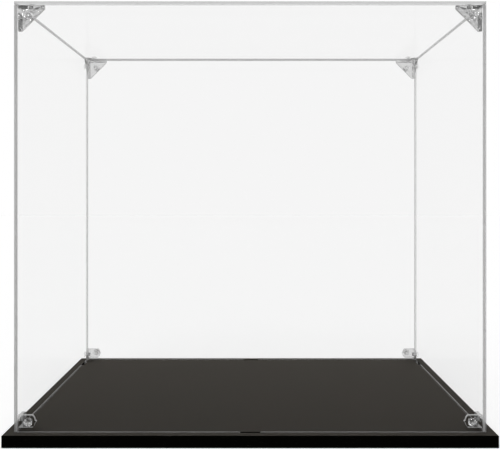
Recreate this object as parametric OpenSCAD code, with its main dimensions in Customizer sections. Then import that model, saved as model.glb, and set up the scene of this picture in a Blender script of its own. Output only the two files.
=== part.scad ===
// Clear display case: a five-panel cover on a black base board.
//
// The cover is five clear panels held together by corner brackets and countersunk screws.
// Tabs on the lower edges of the four walls drop into slots in the base board, so the whole
// cover lifts straight off. Sizes are in millimetres. The origin is at the middle of the
// board's underside, +X to the right, +Y to the rear and +Z up.

/* [Base board] */
// Width of the base board, left to right
base_w = 400; // [200:1:800]
// Depth of the base board, front to rear
base_d = 300; // [160:1:600]
// Thickness of the base board
base_t = 10; // [8:0.5:25]
// Chamfer along the upper and lower edges of the base board
base_chamfer = 0.4; // [0.2:0.1:1.5]
// Radius of the base board's four upright corners
base_corner_r = 0.5; // [0.5:0.5:8]
// How far the base board stands out past the cover on each side
base_margin = 8; // [2:0.5:40]

/* [Clear panels] */
// Height of the cover's top face above the base board
cover_h = 351; // [120:1:700]
// Thickness of each clear panel
panel_t = 2.5; // [2:0.1:6]
// Chamfer along every edge of a clear panel
panel_chamfer = 0.3; // [0.1:0.05:0.5]
// Gap left where two panels meet and where the walls stand on the base board
seam_gap = 0.1; // [0.05:0.05:0.5]

/* [Tabs and slots] */
// Width of each locating tab
tab_w = 17; // [8:0.5:40]
// Length of each locating tab below the wall's lower edge
tab_h = 6; // [3:0.5:7]
// Distance from the end of a side wall to its nearest tab
side_tab_inset = 9; // [3:0.5:30]
// Gap round a tab in its slot
slot_clear = 0.3; // [0.2:0.05:1]
// Gap left under a tab at the bottom of its slot
slot_floor_gap = 0.5; // [0.2:0.1:0.8]

/* [Top corner brackets] */
// Length of each leg of a three-way top bracket
top_leg = 21.5; // [19:0.5:40]
// Thickness of the plates of every bracket
bracket_t = 3; // [2:0.1:4]
// Distance from the inner corner to each screw of a top bracket
top_screw_inset = 8.6; // [6.8:0.1:9.5]

/* [Bottom corner brackets] */
// Length of each lobe of a two-way bottom bracket, from the inner corner
lobe_len = 13.9; // [13:0.1:30]
// Height of each lobe
lobe_h = 10.2; // [8:0.1:16]
// How much the radius of a lobe's end is larger than half its height
lobe_end_extra = 1.8; // [0.1:0.1:3]
// How far the pointed nib on a lobe's end stands out
nib_len = 1; // [0.3:0.1:2.5]
// Height of the lobes' lower edge above the cover's lower edge
lobe_lift = 3.3; // [1:0.1:20]
// Distance from the inner corner to each screw of a bottom bracket
bottom_screw_inset = 8.8; // [6.5:0.1:9]

/* [Screws] */
// Diameter of a screw's countersunk head
head_d = 7; // [5:0.1:8]
// Diameter of a screw's shank
shank_d = 4; // [2.5:0.1:4.5]
// Depth of the countersunk cone below the panel's face
cone_h = 1.5; // [0.8:0.1:2]
// Height of the domed top of the head above the panel's face
dome_h = 0.6; // [0.2:0.1:1.2]
// Length of the screw's tip past the bracket's plate
tip_h = 1; // [0.2:0.1:1.5]
// Radial gap round a screw's head and shank
screw_clear = 0.05; // [0.02:0.01:0.15]
// Length of each arm of the driver's cross, tip to tip
cross_len = 3.2; // [2:0.1:4]
// Width of each arm of the driver's cross
cross_w = 0.8; // [0.4:0.1:1.2]
// Depth of the driver's cross below the top of the dome
cross_depth = 1.1; // [0.6:0.1:1.6]

/* [Hidden] */
$fn = 96;

// A wall is named by the direction in which it faces outward, and a corner by the sum of
// its two walls' directions. Seen from above, they follow each other anticlockwise.
FRONT = [0, -1];
RIGHT = [1, 0];
REAR = -FRONT;
LEFT = -RIGHT;
WALLS = [FRONT, RIGHT, REAR, LEFT];
FRONT_LEFT = FRONT + LEFT;
FRONT_RIGHT = FRONT + RIGHT;
REAR_RIGHT = REAR + RIGHT;
REAR_LEFT = REAR + LEFT;
CORNERS = [FRONT_LEFT, FRONT_RIGHT, REAR_RIGHT, REAR_LEFT];
quarter_turn = 90;
eighth_turn = quarter_turn / 2;

// How far a cutting shape runs past the face it cuts
overcut = 1;

// Outside and inside of the cover
case_w = base_w - 2 * base_margin;
case_d = base_d - 2 * base_margin;
inner_w = case_w - 2 * panel_t;
inner_d = case_d - 2 * panel_t;
wall_z = base_t + seam_gap;
ceiling_z = base_t + cover_h - panel_t;
wall_h = ceiling_z - seam_gap - wall_z;
side_len = inner_d - 2 * seam_gap;

// Middle of each tab on a side wall, measured from the middle of the wall
side_tab_x = side_len / 2 - side_tab_inset - tab_w / 2;

// Heights of the screws that go in sideways
top_screw_z = ceiling_z - top_screw_inset;
bottom_screw_z = wall_z + lobe_lift + lobe_h / 2;

lobe_end_r = lobe_h / 2 + lobe_end_extra;
head_r = head_d / 2;
shank_r = shank_d / 2;
shank_len = panel_t + bracket_t + tip_h;
dome_r = (head_r * head_r + dome_h * dome_h) / (2 * dome_h);

function is_side(wall) = wall == LEFT || wall == RIGHT;
function wall_reach(wall) = (is_side(wall) ? case_w : case_d) / 2;
function wall_len(wall) = is_side(wall) ? side_len : case_w;
function tab_centres(wall) = is_side(wall) ? [-side_tab_x, side_tab_x] : [0];
function first_corner(wall) = wall + [wall.y, -wall.x];
function last_corner(wall) = wall + [-wall.y, wall.x];

// Puts its children in a wall's own frame: x along the wall from its middle, y inward
// from its outer face, z as on the whole case.
module at_wall(wall) {
    rotate([0, 0, atan2(wall.y, wall.x) + quarter_turn])
        translate([0, -wall_reach(wall), 0])
            children();
}

// Puts its children in a corner's own frame: the origin on the inner corner line,
// x and y inward along the two walls that meet there, z as on the whole case.
module at_corner(corner) {
    translate([corner.x * inner_w / 2, corner.y * inner_d / 2, 0])
        rotate([0, 0, atan2(corner.y, corner.x) + quarter_turn + eighth_turn])
            children();
}

// These three place a screw that is drawn along +z from the panel's outer face.
module screw_along_y(inset, height) {
    translate([inset, -panel_t, height])
        rotate([-quarter_turn, 0, 0])
            children();
}

module screw_along_x(inset, height) {
    translate([-panel_t, inset, height])
        rotate([0, quarter_turn, 0])
            children();
}

module screw_downward(inset) {
    translate([inset, inset, ceiling_z + panel_t])
        rotate([2 * quarter_turn, 0, 0])
            children();
}

// Places its child at the three screws of the top bracket at a corner.
module at_top_screws(corner) {
    at_corner(corner) {
        screw_along_y(top_screw_inset, top_screw_z) children();
        screw_along_x(top_screw_inset, top_screw_z) children();
        screw_downward(top_screw_inset) children();
    }
}

// Places its child at the two screws of the bottom bracket at a corner.
module at_bottom_screws(corner) {
    at_corner(corner) {
        screw_along_y(bottom_screw_inset, bottom_screw_z) children();
        screw_along_x(bottom_screw_inset, bottom_screw_z) children();
    }
}

module chamfered_rectangle(w, h, chamfer) {
    polygon([
        [chamfer, 0], [w - chamfer, 0], [w, chamfer], [w, h - chamfer],
        [w - chamfer, h], [chamfer, h], [0, h - chamfer], [0, chamfer]
    ]);
}

module rounded_rectangle(w, h, r) {
    translate([r, 0]) square([w - 2 * r, h]);
    translate([0, r]) square([w, h - 2 * r]);
    for (x = [r, w - r], y = [r, h - r])
        translate([x, y]) circle(r);
}

// A block with every edge chamfered, centred on x, from y = 0 and z = 0.
module chamfered_block(size, chamfer) {
    translate([-size.x / 2, 0, 0])
        intersection() {
            linear_extrude(size.z) chamfered_rectangle(size.x, size.y, chamfer);
            translate([0, size.y, 0])
                rotate([quarter_turn, 0, 0])
                    linear_extrude(size.y) chamfered_rectangle(size.x, size.z, chamfer);
            rotate([quarter_turn, 0, quarter_turn])
                linear_extrude(size.x) chamfered_rectangle(size.y, size.z, chamfer);
        }
}

// A domed countersunk screw, head outward at z = 0.
module screw() {
    difference() {
        union() {
            cylinder(h = cone_h, r1 = head_r, r2 = shank_r);
            cylinder(h = shank_len, r = shank_r);
            intersection() {
                translate([0, 0, dome_r - dome_h]) sphere(r = dome_r);
                translate([0, 0, -dome_h]) cylinder(h = dome_h, r = head_r);
            }
        }
        for (turn = [0, quarter_turn])
            rotate([0, 0, turn])
                translate([-cross_len / 2, -cross_w / 2, -dome_h - overcut])
                    cube([cross_len, cross_w, overcut + cross_depth]);
    }
}

// The hole and countersink that a screw needs in a panel.
module screw_seat() {
    cylinder(h = cone_h, r1 = head_r + screw_clear, r2 = shank_r + screw_clear);
    translate([0, 0, -overcut]) cylinder(h = overcut, r = head_r + screw_clear);
    cylinder(h = panel_t + overcut, r = shank_r + screw_clear);
}

// The hole that a screw needs in a bracket.
module screw_bore() {
    cylinder(h = shank_len + overcut, r = shank_r + screw_clear);
}

module tab(centre) {
    translate([centre, 0, wall_z - tab_h])
        chamfered_block([tab_w, panel_t, tab_h + panel_t], panel_chamfer);
}

module slot(centre) {
    slot_depth = seam_gap + tab_h + slot_floor_gap;
    translate([centre - tab_w / 2 - slot_clear, -slot_clear, wall_z - slot_depth])
        cube([tab_w + 2 * slot_clear, panel_t + 2 * slot_clear, slot_depth + overcut]);
}

module wall_panel(wall) {
    difference() {
        at_wall(wall) {
            translate([0, 0, wall_z])
                chamfered_block([wall_len(wall), panel_t, wall_h], panel_chamfer);
            for (centre = tab_centres(wall)) tab(centre);
        }
        at_corner(first_corner(wall)) {
            screw_along_y(top_screw_inset, top_screw_z) screw_seat();
            screw_along_y(bottom_screw_inset, bottom_screw_z) screw_seat();
        }
        at_corner(last_corner(wall)) {
            screw_along_x(top_screw_inset, top_screw_z) screw_seat();
            screw_along_x(bottom_screw_inset, bottom_screw_z) screw_seat();
        }
    }
}

module roof_panel() {
    difference() {
        translate([0, -case_d / 2, ceiling_z])
            chamfered_block([case_w, case_d, panel_t], panel_chamfer);
        for (corner = CORNERS)
            at_corner(corner) screw_downward(top_screw_inset) screw_seat();
    }
}

// One triangular plate of a top bracket, with tips as blunt as the plate is thick.
module triangle_plate() {
    linear_extrude(bracket_t)
        polygon([
            [0, 0], [top_leg, 0], [top_leg, bracket_t], [bracket_t, top_leg], [0, top_leg]
        ]);
}

module top_bracket(corner) {
    difference() {
        at_corner(corner)
            translate([0, 0, ceiling_z]) {
                rotate([-quarter_turn, 0, 0]) triangle_plate();
                rotate([0, quarter_turn, 0]) triangle_plate();
                translate([0, 0, -bracket_t]) triangle_plate();
            }
        at_top_screws(corner) screw_bore();
    }
}

// One lobe of a bottom bracket: a flat bar with a curved end that has a pointed nib.
module lobe() {
    intersection() {
        union() {
            cube([lobe_len - lobe_end_r, lobe_h, bracket_t]);
            translate([lobe_len - lobe_end_r, lobe_h / 2, 0])
                cylinder(h = bracket_t, r = lobe_end_r);
        }
        cube([lobe_len, lobe_h, bracket_t]);
    }
    linear_extrude(bracket_t)
        polygon([
            [lobe_len - nib_len, lobe_h / 2], [lobe_len, lobe_h / 2 - nib_len],
            [lobe_len + nib_len, lobe_h / 2], [lobe_len, lobe_h / 2 + nib_len]
        ]);
}

module bottom_bracket(corner) {
    difference() {
        at_corner(corner)
            translate([0, 0, wall_z + lobe_lift]) {
                translate([0, bracket_t, 0]) rotate([quarter_turn, 0, 0]) lobe();
                rotate([quarter_turn, 0, quarter_turn]) lobe();
            }
        at_bottom_screws(corner) screw_bore();
    }
}

module base_board() {
    color([0.16, 0.155, 0.15])
        difference() {
            intersection() {
                translate([0, -base_d / 2, 0])
                    chamfered_block([base_w, base_d, base_t], base_chamfer);
                translate([-base_w / 2, -base_d / 2, 0])
                    linear_extrude(base_t) rounded_rectangle(base_w, base_d, base_corner_r);
            }
            for (wall = WALLS)
                at_wall(wall)
                    for (centre = tab_centres(wall)) slot(centre);
        }
}

module clear_panel_color() {
    color([0.88, 0.92, 0.93, 0.25]) children();
}

module clear_bracket_color() {
    color([0.8, 0.83, 0.84, 0.5]) children();
}

module clear_screw_color() {
    color([0.7, 0.73, 0.75, 0.7]) children();
}

module front_panel() { clear_panel_color() wall_panel(FRONT); }
module right_panel() { clear_panel_color() wall_panel(RIGHT); }
module rear_panel() { clear_panel_color() wall_panel(REAR); }
module left_panel() { clear_panel_color() wall_panel(LEFT); }
module top_panel() { clear_panel_color() roof_panel(); }

module top_bracket_front_left() { clear_bracket_color() top_bracket(FRONT_LEFT); }
module top_bracket_front_right() { clear_bracket_color() top_bracket(FRONT_RIGHT); }
module top_bracket_rear_right() { clear_bracket_color() top_bracket(REAR_RIGHT); }
module top_bracket_rear_left() { clear_bracket_color() top_bracket(REAR_LEFT); }

module bottom_bracket_front_left() { clear_bracket_color() bottom_bracket(FRONT_LEFT); }
module bottom_bracket_front_right() { clear_bracket_color() bottom_bracket(FRONT_RIGHT); }
module bottom_bracket_rear_right() { clear_bracket_color() bottom_bracket(REAR_RIGHT); }
module bottom_bracket_rear_left() { clear_bracket_color() bottom_bracket(REAR_LEFT); }

module top_screws_front_left() { clear_screw_color() at_top_screws(FRONT_LEFT) screw(); }
module top_screws_front_right() { clear_screw_color() at_top_screws(FRONT_RIGHT) screw(); }
module top_screws_rear_right() { clear_screw_color() at_top_screws(REAR_RIGHT) screw(); }
module top_screws_rear_left() { clear_screw_color() at_top_screws(REAR_LEFT) screw(); }

module bottom_screws_front_left() { clear_screw_color() at_bottom_screws(FRONT_LEFT) screw(); }
module bottom_screws_front_right() { clear_screw_color() at_bottom_screws(FRONT_RIGHT) screw(); }
module bottom_screws_rear_right() { clear_screw_color() at_bottom_screws(REAR_RIGHT) screw(); }
module bottom_screws_rear_left() { clear_screw_color() at_bottom_screws(REAR_LEFT) screw(); }

base_board();
front_panel();
right_panel();
rear_panel();
left_panel();
top_panel();
top_bracket_front_left();
top_bracket_front_right();
top_bracket_rear_right();
top_bracket_rear_left();
bottom_bracket_front_left();
bottom_bracket_front_right();
bottom_bracket_rear_right();
bottom_bracket_rear_left();
top_screws_front_left();
top_screws_front_right();
top_screws_rear_right();
top_screws_rear_left();
bottom_screws_front_left();
bottom_screws_front_right();
bottom_screws_rear_right();
bottom_screws_rear_left();
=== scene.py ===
"""Looks of a clear display case on a black base board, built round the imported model. Metres."""

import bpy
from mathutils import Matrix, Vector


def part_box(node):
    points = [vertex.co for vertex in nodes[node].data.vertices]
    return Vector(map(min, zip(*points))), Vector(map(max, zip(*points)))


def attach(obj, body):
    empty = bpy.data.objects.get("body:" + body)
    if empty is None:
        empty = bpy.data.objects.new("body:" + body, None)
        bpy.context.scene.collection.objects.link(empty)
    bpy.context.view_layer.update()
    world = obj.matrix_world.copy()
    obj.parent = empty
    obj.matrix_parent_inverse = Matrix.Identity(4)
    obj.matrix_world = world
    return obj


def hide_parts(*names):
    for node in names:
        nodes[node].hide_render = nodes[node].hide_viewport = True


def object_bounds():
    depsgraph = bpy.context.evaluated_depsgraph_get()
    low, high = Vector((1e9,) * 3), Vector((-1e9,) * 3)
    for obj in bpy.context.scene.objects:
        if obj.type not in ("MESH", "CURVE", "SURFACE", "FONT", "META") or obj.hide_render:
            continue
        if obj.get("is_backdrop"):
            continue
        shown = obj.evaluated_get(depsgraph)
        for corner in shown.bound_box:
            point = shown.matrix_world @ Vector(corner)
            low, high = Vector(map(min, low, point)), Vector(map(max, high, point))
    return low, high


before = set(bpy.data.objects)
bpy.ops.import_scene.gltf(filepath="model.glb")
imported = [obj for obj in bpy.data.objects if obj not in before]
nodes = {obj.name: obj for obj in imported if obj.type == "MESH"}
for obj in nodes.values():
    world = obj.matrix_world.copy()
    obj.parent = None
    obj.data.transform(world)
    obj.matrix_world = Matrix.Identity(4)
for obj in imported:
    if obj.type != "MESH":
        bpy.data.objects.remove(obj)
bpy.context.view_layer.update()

import math

import bmesh
import bpy
from mathutils import Matrix, Vector

MM = 0.001
scene = bpy.context.scene

board_low, board_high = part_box("base_board")

# The camera looks level along +Y. Its frame is 500 x 449 pixels. The focal length and the
# point that the lines along +Y run towards are in pixels of that frame.
PHOTO_W, PHOTO_H = 500, 449
FOCAL_PX = 803.5
VANISHING_X, VANISHING_Y = 253.75, 191.15
CAMERA_PLACE = Vector((2.9, -795.2, 206.49)) * MM
SENSOR_MM = 36.0
CLIP_NEAR, CLIP_FAR = 0.01, 50


def add_camera():
    data = bpy.data.cameras.new("camera")
    data.sensor_fit = "HORIZONTAL"
    data.sensor_width = SENSOR_MM
    data.lens = FOCAL_PX / PHOTO_W * SENSOR_MM
    data.shift_x = (PHOTO_W / 2 - VANISHING_X) / PHOTO_W
    data.shift_y = (VANISHING_Y - PHOTO_H / 2) / PHOTO_W
    data.clip_start = CLIP_NEAR
    data.clip_end = CLIP_FAR
    camera = bpy.data.objects.new("camera", data)
    camera.location = CAMERA_PLACE
    camera.rotation_euler = (math.radians(90), 0, 0)
    scene.collection.objects.link(camera)
    scene.camera = camera


# ---- Node helpers ----

class Tree:
    """A material's or world's node tree, with short calls for what this script needs."""

    def __init__(self, owner):
        owner.use_nodes = True
        self.tree = owner.node_tree
        self.tree.nodes.clear()

    def feed(self, socket, value):
        if isinstance(value, bpy.types.NodeSocket):
            self.tree.links.new(value, socket)
        else:
            socket.default_value = value

    def node(self, kind, inputs=None, **settings):
        node = self.tree.nodes.new("ShaderNode" + kind)
        for key, value in settings.items():
            setattr(node, key, value)
        for key, value in (inputs or {}).items():
            self.feed(node.inputs[key], value)
        return node

    def math(self, operation, a, b=0.0):
        return self.node("Math", {0: a, 1: b}, operation=operation).outputs[0]

    def ramp(self, value, low, high, to_low=0.0, to_high=1.0):
        ends = {"Value": value, "From Min": low, "From Max": high,
                "To Min": to_low, "To Max": to_high}
        return self.node("MapRange", ends).outputs["Result"]

    def noise(self, coords, scale, detail=3.0, roughness=0.5):
        inputs = {"Vector": coords, "Scale": scale, "Detail": detail, "Roughness": roughness}
        return self.node("TexNoise", inputs).outputs["Fac"]

    def blend(self, factor, a, b):
        return self.node("Mix", {0: factor, 6: a, 7: b}, data_type="RGBA").outputs[2]

    def mix(self, factor, a, b):
        return self.node("MixShader", {0: factor, 1: a, 2: b}).outputs[0]

    def coords(self, kind="Object"):
        return self.node("TexCoord").outputs[kind]

    def scale(self, vector, factor):
        inputs = {0: vector, "Scale": factor}
        return self.node("VectorMath", inputs, operation="SCALE").outputs[0]

    def split(self, vector):
        return self.node("SeparateXYZ", {0: vector}).outputs

    def outward(self):
        """1 where a surface is seen from outside its solid, -1 where from within it."""
        back = self.node("NewGeometry").outputs["Backfacing"]
        return self.math("SUBTRACT", 1.0, self.math("MULTIPLY", back, 2.0))

    def bump(self, height, strength, distance):
        inputs = {"Height": height, "Strength": strength, "Distance": distance}
        return self.node("Bump", inputs).outputs[0]

    def seen(self):
        """1 for rays from the camera, also where gloss or clear plastic sends them on."""
        path = self.node("LightPath").outputs
        return self.math("MAXIMUM", path["Is Camera Ray"],
                         self.math("MAXIMUM", path["Is Glossy Ray"], path["Is Transmission Ray"]))

    def finish(self, surface, volume=None, kind="OutputMaterial"):
        output = self.node(kind, {"Surface": surface})
        if volume is not None:
            self.feed(output.inputs["Volume"], volume)


def grey(value):
    return (value, value, value, 1.0)


def new_material(name):
    material = bpy.data.materials.new(name)
    return material, Tree(material)


# ---- Materials ----

# The board's face has fine speckles over slow changes of tone. Its cut edges are painted near
# black as shade, far darker than the face, for the little light that reaches them.
SPECKLE = ((0.0525, 0.0483, 0.0413, 1), (0.0665, 0.0609, 0.0525, 1))
TONE = ((0.0553, 0.0532, 0.0462, 1), (0.0623, 0.0539, 0.0483, 1))
EDGE_PAINTED_SHADE = ((0.0005, 0.0005, 0.0003, 1), (0.0012, 0.0012, 0.0008, 1))
GRAIN_SCALE, CLOUD_SCALE = 1800, 14
# Painted light: how bright the face is at the board's front edge and at its rear edge, darker at
# the front and lighter towards the rear.
PAINTED_LIGHT_FRONT, PAINTED_LIGHT_REAR = 0.86, 1.15
# The board's gloss, next to nothing, and the depth of its grain.
BOARD_SPECULAR = 0.01
GRAIN_DEPTH = 0.05 * MM

# Share of light that each face of a panel lets through, so that two panels give 245 in 255.
FACE_TINT = 0.9777
# Gloss of clear plastic at grazing angles, and how fast it falls off towards a square view.
GLINT = 0.08
GLINT_FALL = 5.0
# Brightness of a panel's cut edges.
EDGE_PALE = 0.6
# How much of a tab's cut edge is solid.
TAB_SHARE = 0.8
# Width of the strip along a panel's outline that counts as its cut edge.
BORDER = 0.5 * MM
# A surface faces a way in full above the higher cosine, and not at all below the lower one.
OFF_WAY, ON_WAY = 0.8, 0.95
# Half the width over which a side wall's edge changes at its core, and how far past the core
# the inner part reaches.
CORE_BLUR = 0.2 * MM
INNER_REACH = 0.9 * MM
# Painted shade: the front panel's edge glow is full up to the first height from its middle, and
# down to
# END_GLOW from the second height on, darker towards its ends where the hardware shades it.
GLOW_FULL, GLOW_LOW = 70 * MM, 145 * MM
END_GLOW = 0.74
# Refractive index of the moulded plastic, and what it lets past where it doesn't bend light.
MOULDED_IOR = 1.49
STRAIGHT_TINT = 0.97

# The axis and the sign of each way that a face can look.
WAYS = {"left": ("X", -1), "right": ("X", 1), "front": ("Y", -1), "rear": ("Y", 1),
        "down": ("Z", -1), "up": ("Z", 1)}


def base_material():
    """Black board: a fine-grained, matt, warm dark grey face above, with painted light that makes
    it lighter towards the rear, and cut edges painted near black as shade.
    """
    material, t = new_material("base_black")
    place = t.coords()
    facing_up = t.ramp(t.split(t.coords("Normal"))["Z"], 0.75, 0.95)
    grain = t.noise(place, GRAIN_SCALE, 4, 0.6)
    clouds = t.noise(place, CLOUD_SCALE, 2, 0.5)
    speckled = t.blend(grain, *SPECKLE)
    tinted = t.blend(clouds, *TONE)
    # Painted light: the face is scaled darker at the front and lighter towards the rear.
    painted_rear_light = t.ramp(t.split(place)["Y"], board_low.y, board_high.y, PAINTED_LIGHT_FRONT, PAINTED_LIGHT_REAR)
    top = t.scale(t.blend(0.5, speckled, tinted), painted_rear_light)
    # Painted shade: the cut edges get a near-black colour, far darker than the face.
    edge = t.blend(grain, *EDGE_PAINTED_SHADE)
    surface = t.node("BsdfPrincipled", {
        "Base Color": t.blend(facing_up, edge, top),
        "Roughness": t.ramp(grain, 0.2, 0.8, 0.62, 0.78),
        "Specular IOR Level": BOARD_SPECULAR,
        "Normal": t.bump(grain, 0.15, GRAIN_DEPTH),
    })
    t.finish(surface.outputs[0])
    return material


def border_mask(t, place, name, thin_axis):
    """1 along the cut edges of a panel, and 0 on its faces and in its screw holes."""
    low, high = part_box(name)
    xyz = t.split(place)
    mask = 0.0
    for axis in "XYZ":
        if axis == thin_axis:
            continue
        lower = getattr(low, axis.lower())
        upper = getattr(high, axis.lower())
        if axis == "Z":
            lower = board_high.z
        middle = (lower + upper) / 2
        reach = (upper - lower) / 2 - BORDER
        off = t.math("ABSOLUTE", t.math("SUBTRACT", xyz[axis], middle))
        mask = t.math("MAXIMUM", mask, t.math("GREATER_THAN", off, reach))
    return mask


def clear_face(t, tint):
    """See-through plastic that lets tint of the light past, with a faint gloss."""
    smudge = t.noise(t.coords(), 9, 3, 0.55)
    through = t.node("BsdfTransparent", {"Color": grey(tint)})
    gloss = t.node("BsdfGlossy", {
        "Color": grey(0.9), "Roughness": t.ramp(smudge, 0.3, 0.8, 0.01, 0.03)})
    facing = t.node("LayerWeight", {"Blend": 0.5}).outputs["Facing"]
    shine = t.math("MULTIPLY", t.math("POWER", facing, GLINT_FALL), GLINT)
    return t.mix(shine, through.outputs[0], gloss.outputs[0])


def cut_edge(t, share, pale, light=1.0):
    """An edge of clear plastic that glows grey. share of it is solid, and light, below 1, dims
    the glow as painted shade.
    """
    streaks = t.noise(t.coords(), 60, 3, 0.6)
    share = t.math("MULTIPLY", share, t.ramp(streaks, 0.3, 0.7, 0.94, 1.06))
    colour = t.blend(t.ramp(streaks, 0.35, 0.65), grey(pale * 0.95), grey(pale * 1.05))
    colour = t.scale(colour, light)
    through = t.node("BsdfTransparent", {"Color": grey(0.95)})
    solid = t.node("BsdfPrincipled", {
        "Base Color": colour,
        "Roughness": t.ramp(streaks, 0.3, 0.7, 0.25, 0.45),
        "Specular IOR Level": 0.3,
    })
    return t.mix(share, through.outputs[0], solid.outputs[0])


def edge_share(t, place, normal, thin_axis, chamfer, ways, core):
    """How much of a panel's cut edge is solid, by the way it faces: painted light and shade,
    which makes edges that face some ways brighter than others. See panel_material.
    """
    outer, inner = 1.0, 1.0
    if core is not None:
        depth = t.math("ABSOLUTE", t.split(place)[thin_axis])
        outer = t.ramp(depth, core - CORE_BLUR, core + CORE_BLUR)
        inner_end = core + INNER_REACH
        inner = t.ramp(depth, inner_end + CORE_BLUR, inner_end - CORE_BLUR)
    share = t.math("MULTIPLY", chamfer, outer)
    outward = t.outward()
    for way, solid in ways.items():
        axis, sign = WAYS[way]
        faced = t.math("MULTIPLY", t.math("MULTIPLY", normal[axis], sign), outward)
        mask = t.ramp(faced, OFF_WAY, ON_WAY)
        part = t.math("MULTIPLY", inner if way == "rear" else outer, solid)
        change = t.math("SUBTRACT", part, t.math("MULTIPLY", chamfer, outer))
        share = t.math("ADD", share, t.math("MULTIPLY", mask, change))
    on_tab = t.math("LESS_THAN", t.split(place)["Z"], board_high.z)
    return t.math("MAXIMUM", share, t.math("MULTIPLY", on_tab, TAB_SHARE))


def painted_end_shade(t, place, name):
    """Painted shade on a panel's cut edges: full at the middle of a panel's height, and weaker
    near its lower and upper end, where the hardware shades them.
    """
    middle = (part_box(name)[0].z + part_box(name)[1].z) / 2
    off = t.math("ABSOLUTE", t.math("SUBTRACT", t.split(place)["Z"], middle))
    return t.ramp(off, GLOW_FULL, GLOW_LOW, 1.0, END_GLOW)


def panel_material(name, thin_axis, chamfer, ways, core=None, ends=False):
    """Clear sheet: see-through faces with a faint gloss, and cut edges that glow pale grey.

    ways tells how much of a cut edge is solid, for each way that an edge can face: painted
    light and shade, brighter on some ways than others. The chamfers between them have a share
    of their own. core splits the edge's thickness: the rear edge glows on the inner side of it,
    and everything else on the outer side, a painted band of light and shade. ends paints
    shade on the glow near the sheet's lower and upper end, where the hardware shades it."""
    material, t = new_material(name)
    place = t.coords()
    normal = t.split(t.coords("Normal"))
    edge_mask = t.ramp(t.math("ABSOLUTE", normal[thin_axis]), ON_WAY, OFF_WAY)
    edge_mask = t.math("MULTIPLY", edge_mask, border_mask(t, place, name, thin_axis))
    share = edge_share(t, place, normal, thin_axis, chamfer, ways, core)
    light = painted_end_shade(t, place, name) if ends else 1.0
    t.finish(t.mix(edge_mask, clear_face(t, FACE_TINT), cut_edge(t, share, EDGE_PALE, light)))
    return material


def bracket_face_material(name, tint):
    """See-through face of a bottom bracket."""
    material, t = new_material(name)
    t.finish(clear_face(t, tint))
    return material


def bracket_rim_material(name, share, pale):
    """Rim of a bottom bracket, of which share is solid."""
    material, t = new_material(name)
    t.finish(cut_edge(t, share, pale))
    return material


def moulded_material(name, tint, density, roughness, frost, milk=0.55, clear_share=0.0):
    """Clear moulded plastic, slightly smoky.

    frost is the share of its outside that scatters light, with milk as its albedo.
    clear_share is how much of the rest lets light straight past, as in a flush head."""
    material, t = new_material(name)
    flow = t.noise(t.coords(), 220, 2, 0.5)
    normal = t.bump(flow, 0.2, 0.1 * MM)
    clear = t.node("BsdfPrincipled", {
        "Base Color": t.blend(flow, grey(tint * 0.94), grey(min(1.0, tint * 1.06))),
        "Roughness": t.ramp(flow, 0.3, 0.7, roughness * 0.6, roughness * 1.4),
        "IOR": MOULDED_IOR,
        "Transmission Weight": 1.0,
        "Normal": normal,
    }).outputs[0]
    if frost:
        milky = t.node("BsdfPrincipled", {
            "Base Color": t.blend(flow, grey(milk * 0.95), grey(milk * 1.05)),
            "Roughness": t.ramp(flow, 0.3, 0.7, 0.2, 0.4),
            "Normal": normal,
        }).outputs[0]
        outside = t.math("SUBTRACT", 1.0, t.node("NewGeometry").outputs["Backfacing"])
        clear = t.mix(t.math("MULTIPLY", outside, frost), clear, milky)
    if clear_share:
        straight = t.node("BsdfTransparent", {"Color": grey(STRAIGHT_TINT)}).outputs[0]
        clear = t.mix(clear_share, clear, straight)
    volume = t.node("VolumeAbsorption", {"Color": grey(0.0), "Density": density})
    t.finish(clear, volume.outputs[0])
    return material


def assign(piece, *materials):
    """Sets a piece's materials. Clearing them would lose which face has which, so a new
    mesh is only added to."""
    if piece.data.materials:
        piece.data.materials.clear()
    for material in materials:
        piece.data.materials.append(material)


# ---- Mesh helpers. Meshes are drawn in millimetres and scaled when they are placed. ----

def mesh_object(name, bm):
    mesh = bpy.data.meshes.new(name)
    bm.to_mesh(mesh)
    bm.free()
    piece = bpy.data.objects.new(name, mesh)
    scene.collection.objects.link(piece)
    return piece


def prism(outline, depth, matrix=Matrix()):
    """A solid with that outline in x and y, from z = 0 up to depth, moved by matrix."""
    bm = bmesh.new()
    low = [bm.verts.new((x, y, 0)) for x, y in outline]
    high = [bm.verts.new((x, y, depth)) for x, y in outline]
    bm.faces.new(reversed(low))
    bm.faces.new(high)
    for i in range(len(outline)):
        j = (i + 1) % len(outline)
        bm.faces.new((low[i], low[j], high[j], high[i]))
    bm.transform(matrix)
    bmesh.ops.recalc_face_normals(bm, faces=bm.faces)
    return mesh_object("part", bm)


def circle(radius, count=48):
    turn = 2 * math.pi / count
    return [(radius * math.cos(i * turn), radius * math.sin(i * turn)) for i in range(count)]


def bake_modifiers(piece):
    depsgraph = bpy.context.evaluated_depsgraph_get()
    mesh = bpy.data.meshes.new_from_object(piece.evaluated_get(depsgraph))
    piece.modifiers.clear()
    piece.data = mesh


def combine(piece, operation, tools):
    """Adds the tools to piece, or cuts them from it, and removes them."""
    for tool in tools:
        modifier = piece.modifiers.new("combine", "BOOLEAN")
        modifier.operation = operation
        modifier.solver = "EXACT"
        modifier.object = tool
    bake_modifiers(piece)
    for tool in tools:
        bpy.data.objects.remove(tool)


def soften(piece, width):
    """Rounds every sharp edge of piece."""
    modifier = piece.modifiers.new("soften", "BEVEL")
    modifier.width = width
    modifier.segments = SOFT_SEGMENTS
    modifier.limit_method = "ANGLE"
    modifier.angle_limit = math.radians(30)
    bake_modifiers(piece)


def shade(mesh, angle=35):
    for polygon in mesh.polygons:
        polygon.use_smooth = True
    mesh.set_sharp_from_angle(angle=math.radians(angle))


# ---- Cover hardware. Sizes in millimetres, from the frame or as the part's source has them. ----

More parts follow.
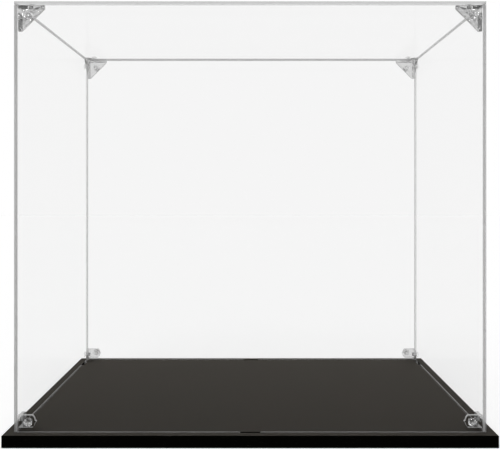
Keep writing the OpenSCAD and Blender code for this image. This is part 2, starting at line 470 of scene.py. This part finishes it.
# Brackets. GAP keeps them off the walls, and the insets are from a corner to its screws.
GAP = 0.05
PLATE_T = 3.0
PANEL_T = 2.5
TOP_INSET = 8.6
BOTTOM_INSET = 8.8
LOBE_END_EXTRA = 1.8
BORE_R = 2.05
# The nib's length, half its height at the root as a share of that, and the steps of the
# curve on each side of it.
NIB = 1.0
NIB_SPREAD = 0.93
ARC_STEPS = 7
# How far sharp edges are rounded on a top and on a bottom bracket.
TOP_SOFT = 0.2
BOTTOM_SOFT = 0.3
SOFT_SEGMENTS = 2
# A bracket's broad faces lie this close to the walls and are square to an axis, above this
# cosine.
NEAR_WALL = PLATE_T + 0.5
SQUARE = 0.99

# Screws. SHANK_LEN is from the panel's face to the tip.
HEAD_R = 3.5
SHANK_R = 2.0
CONE_H = 1.5
DOME_H = 0.6
SHANK_LEN = 6.5
SCREW_SIDES = 36
DOME_RINGS = 8
# Where the head's rim turns over: how far below the panel's face, and how far inward.
HEAD_RIM = ((0.12, 0.02), (0.3, 0.22))
# The thread, which ends THREAD_END before the tip, and the steps of one turn.
THREAD_PITCH = 0.7
THREAD_DEPTH = 0.15
THREAD_END = 0.4
TURN_STEPS = 6
# The blunt tip: how far before the screw's end, and how far inward.
TIP = ((0.1, 0.35), (0.0, 0.6))
# Height, half length and half width of the driver's cross above its mouth and at its floor.
RECESS = ((-1.6, 1.9, 0.48), (0.5, 0.9, 0.3))

inner_low = Vector((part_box("left_panel")[1].x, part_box("front_panel")[1].y)) / MM
inner_high = Vector((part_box("right_panel")[0].x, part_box("rear_panel")[0].y)) / MM
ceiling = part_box("top_panel")[0].z / MM
lobe_low, lobe_high = (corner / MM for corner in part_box("bottom_bracket_front_left"))
top_low, top_high = (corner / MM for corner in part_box("top_bracket_front_left"))
top_leg = top_high.x - top_low.x

CORNERS = {"front_left": (-1, -1), "front_right": (1, -1),
           "rear_right": (1, 1), "rear_left": (-1, 1)}


def corner_matrix(corner):
    """From a corner's own frame, x and y inward along its walls, to the row frame."""
    side_x, side_y = CORNERS[corner]
    x = inner_low.x if side_x < 0 else inner_high.x
    y = inner_low.y if side_y < 0 else inner_high.y
    turn = math.atan2(side_y, side_x) + math.radians(135)
    return Matrix.Scale(MM, 4) @ Matrix.Translation((x, y, 0)) @ Matrix.Rotation(turn, 4, "Z")


def axes(x, y, z, origin=(0, 0, 0)):
    """A matrix from its three axes and its origin."""
    columns = [Vector(v).to_4d() for v in (x, y, z)]
    for column in columns:
        column.w = 0
    return Matrix(columns + [Vector(origin).to_4d()]).transposed()


X, Y, Z = Vector((1, 0, 0)), Vector((0, 1, 0)), Vector((0, 0, 1))


def bores(places):
    return [prism(circle(BORE_R), PLATE_T * 2, axes(*frame_axes, Vector(origin) - frame_axes[2]))
            for frame_axes, origin in places]


def top_screw_places():
    height = ceiling - TOP_INSET
    return [((X, -Z, Y), (TOP_INSET, -PANEL_T, height)),
            ((Y, Z, X), (-PANEL_T, TOP_INSET, height)),
            ((X, -Y, -Z), (TOP_INSET, TOP_INSET, ceiling + PANEL_T))]


def bottom_screw_places():
    height = (lobe_low.z + lobe_high.z) / 2
    return [((X, -Z, Y), (BOTTOM_INSET, -PANEL_T, height)),
            ((Y, Z, X), (-PANEL_T, BOTTOM_INSET, height))]


def build_top_bracket():
    """Three triangular plates that meet in a corner, with softened edges and three bores."""
    reach, t, g = top_leg, PLATE_T, GAP
    outline = [(g, g), (reach, g), (reach, t), (t, reach), (g, reach)]
    plates = [
        prism(outline, t - g, axes(X, -Z, Y, (0, g, ceiling))),
        prism(outline, t - g, axes(Y, -Z, X, (g, 0, ceiling))),
        prism(outline, t - g, axes(X, Y, -Z, (0, 0, ceiling - g))),
    ]
    combine(plates[0], "UNION", plates[1:])
    combine(plates[0], "DIFFERENCE", bores(top_screw_places()))
    soften(plates[0], TOP_SOFT)
    return plates[0]


def lobe_outline():
    """A bottom bracket's lobe: straight above and below, a curved end, and a pointed nib."""
    length = lobe_high.x - lobe_low.x - NIB
    half = (lobe_high.z - lobe_low.z) / 2
    radius = half + LOBE_END_EXTRA
    centre = length - radius
    nib_y = NIB * NIB_SPREAD
    end_angle = math.asin(half / radius)
    nib_angle = math.asin(nib_y / radius)
    points = [(GAP, -half)]
    for sign in (-1, 1):
        sweep = [end_angle + (nib_angle - end_angle) * i / ARC_STEPS
                 for i in range(ARC_STEPS + 1)]
        if sign > 0:
            points.append((length + NIB, 0))
            sweep.reverse()
        points += [(centre + radius * math.cos(a), sign * radius * math.sin(a)) for a in sweep]
    points.append((GAP, half))
    return points


def build_bottom_bracket():
    middle = (lobe_low.z + lobe_high.z) / 2
    t, g = PLATE_T, GAP
    lobes = [prism(lobe_outline(), t - g, axes(X, Z, Y, (0, g, middle))),
             prism(lobe_outline(), t - g, axes(Y, Z, X, (g, 0, middle)))]
    combine(lobes[0], "UNION", lobes[1:])
    combine(lobes[0], "DIFFERENCE", bores(bottom_screw_places()))
    soften(lobes[0], BOTTOM_SOFT)
    return lobes[0]


def screw_rings():
    """A screw's rings from the dome down to the tip, as height, radius and share of thread."""
    dome_r = (HEAD_R ** 2 + DOME_H ** 2) / (2 * DOME_H)
    rings = []
    for i in range(1, DOME_RINGS + 1):
        r = HEAD_R * i / DOME_RINGS
        rings.append((-(math.sqrt(dome_r ** 2 - r ** 2) - (dome_r - DOME_H)), r, 0.0))
    rings += [(z, HEAD_R - inward, 0.0) for z, inward in HEAD_RIM]
    rings.append((CONE_H, SHANK_R, 0.0))
    step = THREAD_PITCH / TURN_STEPS
    steps = int((SHANK_LEN - CONE_H - THREAD_END) / step)
    rings += [(CONE_H + i * step, SHANK_R, min(1.0, i / TURN_STEPS))
              for i in range(1, steps + 1)]
    rings += [(SHANK_LEN - before, SHANK_R - inward, 0.0) for before, inward in TIP]
    return rings


def ring_loop(bm, z, r, threaded):
    """One ring of a screw's points, drawn in where its thread is deep."""
    loop = []
    for i in range(SCREW_SIDES):
        phase = (z / THREAD_PITCH - i / SCREW_SIDES) % 1
        ring_r = r - threaded * THREAD_DEPTH * abs(2 * phase - 1)
        angle = 2 * math.pi * i / SCREW_SIDES
        loop.append(bm.verts.new((ring_r * math.cos(angle), ring_r * math.sin(angle), z)))
    return loop


def build_screw():
    """A domed countersunk screw with a real thread, head outward at z = 0, along +z."""
    bm = bmesh.new()
    loops = [ring_loop(bm, *ring) for ring in screw_rings()]
    for a, b in zip(loops, loops[1:]):
        for i in range(SCREW_SIDES):
            j = (i + 1) % SCREW_SIDES
            bm.faces.new((a[i], a[j], b[j], b[i]))
    for loop, z in ((loops[0], -DOME_H), (loops[-1], SHANK_LEN)):
        pole = bm.verts.new((0, 0, z))
        for i in range(SCREW_SIDES):
            bm.faces.new((loop[i], loop[(i + 1) % SCREW_SIDES], pole))
    bmesh.ops.recalc_face_normals(bm, faces=bm.faces)
    screw = mesh_object("screw", bm)
    combine(screw, "DIFFERENCE", [recess_arm(0), recess_arm(math.pi / 2)])
    shade(screw.data, 40)
    return screw


def recess_arm(angle):
    """One arm of the driver's cross, which narrows as it goes down."""
    bm = bmesh.new()
    loops = []
    for z, half_l, half_w in RECESS:
        outline = ((-half_l, -half_w), (half_l, -half_w), (half_l, half_w), (-half_l, half_w))
        loops.append([bm.verts.new((x, y, z)) for x, y in outline])
    for i in range(4):
        j = (i + 1) % 4
        bm.faces.new((loops[0][i], loops[0][j], loops[1][j], loops[1][i]))
    bm.faces.new(loops[0])
    bm.faces.new(loops[1])
    bm.transform(Matrix.Rotation(angle, 4, "Z"))
    bmesh.ops.recalc_face_normals(bm, faces=bm.faces)
    return mesh_object("recess", bm)


def mark_rims(mesh, near_walls):
    """Gives the first material to the broad faces of the plates, and the second to the rest.

    near_walls(centre) tells, for each axis, whether a face there can be a broad one."""
    for polygon in mesh.polygons:
        normal = polygon.normal
        near = near_walls(polygon.center)
        broad = any(abs(normal[k]) > SQUARE and near[k] for k in range(3))
        polygon.material_index = 0 if broad else 1


def faces_along_y(matrix):
    """Whether a screw placed by matrix goes in through the front or the rear wall."""
    way = matrix.to_3x3() @ Z
    return abs(way.y) > max(abs(way.x), abs(way.z))


def add_copy(bm, mesh, matrix, flush_head):
    """Adds mesh to bm, moved by matrix. flush_head gives a screw's head the second material."""
    first_vert = len(bm.verts)
    first_face = len(bm.faces)
    bm.from_mesh(mesh)
    bm.verts.ensure_lookup_table()
    bm.faces.ensure_lookup_table()
    if flush_head:
        for face in bm.faces[first_face:]:
            if face.calc_center_median().z < PANEL_T:
                face.material_index = 1
    bmesh.ops.transform(bm, matrix=matrix, verts=bm.verts[first_vert:])


def place_copies(master, kind, node_kind, materials, places=None):
    """Puts master into all four corners, once or at each of places, and removes it."""
    for corner in CORNERS:
        matrix = corner_matrix(corner)
        bm = bmesh.new()
        if places is None:
            add_copy(bm, master.data, matrix, False)
        for frame_axes, origin in places or []:
            placed = matrix @ axes(*frame_axes, origin)
            add_copy(bm, master.data, placed, not faces_along_y(placed))
        piece = mesh_object(f"{kind}_{corner}", bm)
        assign(piece, *materials)
        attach(piece, "cover")
        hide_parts(f"{node_kind}_{corner}")
    bpy.data.objects.remove(master)


def add_top_brackets():
    plate = moulded_material("clear_bracket", tint=0.84, density=5, roughness=0.02,
                             frost=0.2, milk=0.7)
    rim = moulded_material("clear_bracket_rim", tint=0.88, density=5, roughness=0.05,
                           frost=0.5, milk=0.8)
    top = build_top_bracket()
    mark_rims(top.data, lambda c: (c.x < NEAR_WALL, c.y < NEAR_WALL, c.z > ceiling - NEAR_WALL))
    shade(top.data)
    place_copies(top, "top_corner", "top_bracket", (plate, rim))


def add_bottom_brackets():
    face = bracket_face_material("clear_lobe", tint=0.85)
    rim = bracket_rim_material("clear_lobe_rim", share=0.88, pale=0.62)
    bottom = build_bottom_bracket()
    mark_rims(bottom.data, lambda c: (c.x < NEAR_WALL, c.y < NEAR_WALL, False))
    shade(bottom.data)
    place_copies(bottom, "bottom_corner", "bottom_bracket", (face, rim))


def add_screws():
    """Heads in the front and rear walls look solid, and all others are mostly see-through."""
    screw = moulded_material("clear_screw", tint=0.9, density=10, roughness=0.015,
                             frost=0.05, clear_share=0.1)
    head = moulded_material("clear_screw_flush_head", tint=0.88, density=10, roughness=0.02,
                            frost=0.08, clear_share=0.8)
    place_copies(build_screw(), "top_corner_screws", "top_screws",
                 (screw, head), top_screw_places())
    place_copies(build_screw(), "bottom_corner_screws", "bottom_screws",
                 (screw, head), bottom_screw_places())


# ---- Stage ----

# The open floor comes out just white: its own glow makes up what the lights leave.
SKY = 0.5
SUN = 0.9
SUN_FROM = Vector((-0.3, -0.5, 0.81)).normalized()
SUN_WIDTH = math.radians(25)
FLOOR_ALBEDO = 0.8
FLOOR_GLOW = 1.0 - FLOOR_ALBEDO * (SKY + SUN * SUN_FROM.z / math.pi)
FLOOR_REACH = 6.0
FLOOR_DROP = 0.1 * MM
# The white round the case turns grey between these two heights of the sky, as sines.
ZENITH_FROM, ZENITH_TO = 0.65, 0.88
ZENITH_GREY = 0.18
LIGHT_BOUNCES = 32

# Small lamps that give the front screws their glints, as directions from those screws.
GLINT_WAYS = ((0.66, -0.742, 0.13), (0.157, -0.962, 0.23))
GLINT_REACH = 2.5
GLINT_HEIGHT = 0.02
LAMP_SIZE = 0.15
LAMP_POWER = 2.2


def add_floor():
    bm = bmesh.new()
    bmesh.ops.create_grid(bm, x_segments=8, y_segments=8, size=FLOOR_REACH)
    floor = mesh_object("floor", bm)
    floor.location.z = -FLOOR_DROP
    material, t = new_material("floor")
    diffuse = t.node("BsdfDiffuse", {"Color": grey(FLOOR_ALBEDO)})
    glow = t.node("Emission", {
        "Color": grey(1.0), "Strength": t.math("MULTIPLY", t.seen(), FLOOR_GLOW)})
    both = t.node("AddShader", {0: diffuse.outputs[0], 1: glow.outputs[0]})
    t.finish(both.outputs[0])
    assign(floor, material)
    floor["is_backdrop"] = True


def set_world():
    """White all round and grey straight above where it is seen, and SKY for its light."""
    world = bpy.data.worlds.new("world")
    scene.world = world
    t = Tree(world)
    height = t.split(t.coords("Generated"))["Z"]
    above = t.ramp(height, ZENITH_FROM, ZENITH_TO, 1.0, ZENITH_GREY)
    shown = t.node("Background", {"Color": t.blend(above, grey(0.0), grey(1.0)), "Strength": 1.0})
    soft = t.node("Background", {"Color": grey(1.0), "Strength": SKY})
    t.finish(t.mix(t.seen(), soft.outputs[0], shown.outputs[0]), kind="OutputWorld")


def add_sun():
    data = bpy.data.lights.new("sun", "SUN")
    data.energy = SUN
    data.angle = SUN_WIDTH
    lamp = bpy.data.objects.new("sun", data)
    lamp.rotation_euler = SUN_FROM.to_track_quat("Z", "Y").to_euler()
    scene.collection.objects.link(lamp)


def add_lamp(name, place):
    """A small round lamp that faces the origin and lights no diffuse surface."""
    data = bpy.data.lights.new(name, "AREA")
    data.shape = "DISK"
    data.size = LAMP_SIZE
    data.energy = LAMP_POWER
    lamp = bpy.data.objects.new(name, data)
    lamp.location = place
    lamp.rotation_euler = Vector(place).to_track_quat("Z", "Y").to_euler()
    lamp.visible_diffuse = False
    scene.collection.objects.link(lamp)


def add_glint_lamps():
    for side in (-1, 1):
        for way in GLINT_WAYS:
            place = Vector((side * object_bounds()[1].x, board_low.y, GLINT_HEIGHT))
            place += Vector((side * way[0], way[1], way[2])) * GLINT_REACH
            add_lamp("glint", place)


def set_stage():
    scene.view_settings.view_transform = "Standard"
    scene.cycles.max_bounces = LIGHT_BOUNCES
    scene.cycles.transmission_bounces = LIGHT_BOUNCES
    scene.cycles.transparent_max_bounces = LIGHT_BOUNCES
    set_world()
    add_floor()
    add_sun()
    add_glint_lamps()


# How much of each panel's cut edges is solid, by the way that they face, and of its chamfers.
# This paints light and shade: edges that face some ways come out brighter than others.
FRONT_EDGES = {"left": 0.85, "right": 0.85, "up": 0.3, "down": 0.26}
REAR_EDGES = {"left": 0.05, "right": 0.05, "up": 0.3, "down": 0.2}
SIDE_EDGES = {"front": 0.85, "rear": 0.85, "up": 0.2, "down": 0.12}
TOP_EDGES = {"front": 0.7, "rear": 0.85, "left": 0.8, "right": 0.8}
FRONT_CHAMFER = 0.36
REAR_CHAMFER = 0.3
SIDE_CHAMFER = 0.7
TOP_CHAMFER = 0.4
# How far a side wall's core lies outside its inner face.
CORE_DEPTH = 0.4 * MM


def dress_cad_nodes():
    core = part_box("left_panel")[1].x * -1 + CORE_DEPTH
    front = panel_material("front_panel", "Y", FRONT_CHAMFER, FRONT_EDGES, ends=True)
    rear = panel_material("rear_panel", "Y", REAR_CHAMFER, REAR_EDGES)
    left = panel_material("left_panel", "X", SIDE_CHAMFER, SIDE_EDGES, core)
    right = panel_material("right_panel", "X", SIDE_CHAMFER, SIDE_EDGES, core)
    top = panel_material("top_panel", "Z", TOP_CHAMFER, TOP_EDGES)
    assign(nodes["base_board"], base_material())
    assign(nodes["front_panel"], front)
    assign(nodes["rear_panel"], rear)
    assign(nodes["left_panel"], left)
    assign(nodes["right_panel"], right)
    assign(nodes["top_panel"], top)


add_camera()
set_stage()
dress_cad_nodes()
add_top_brackets()
add_bottom_brackets()
add_screws()
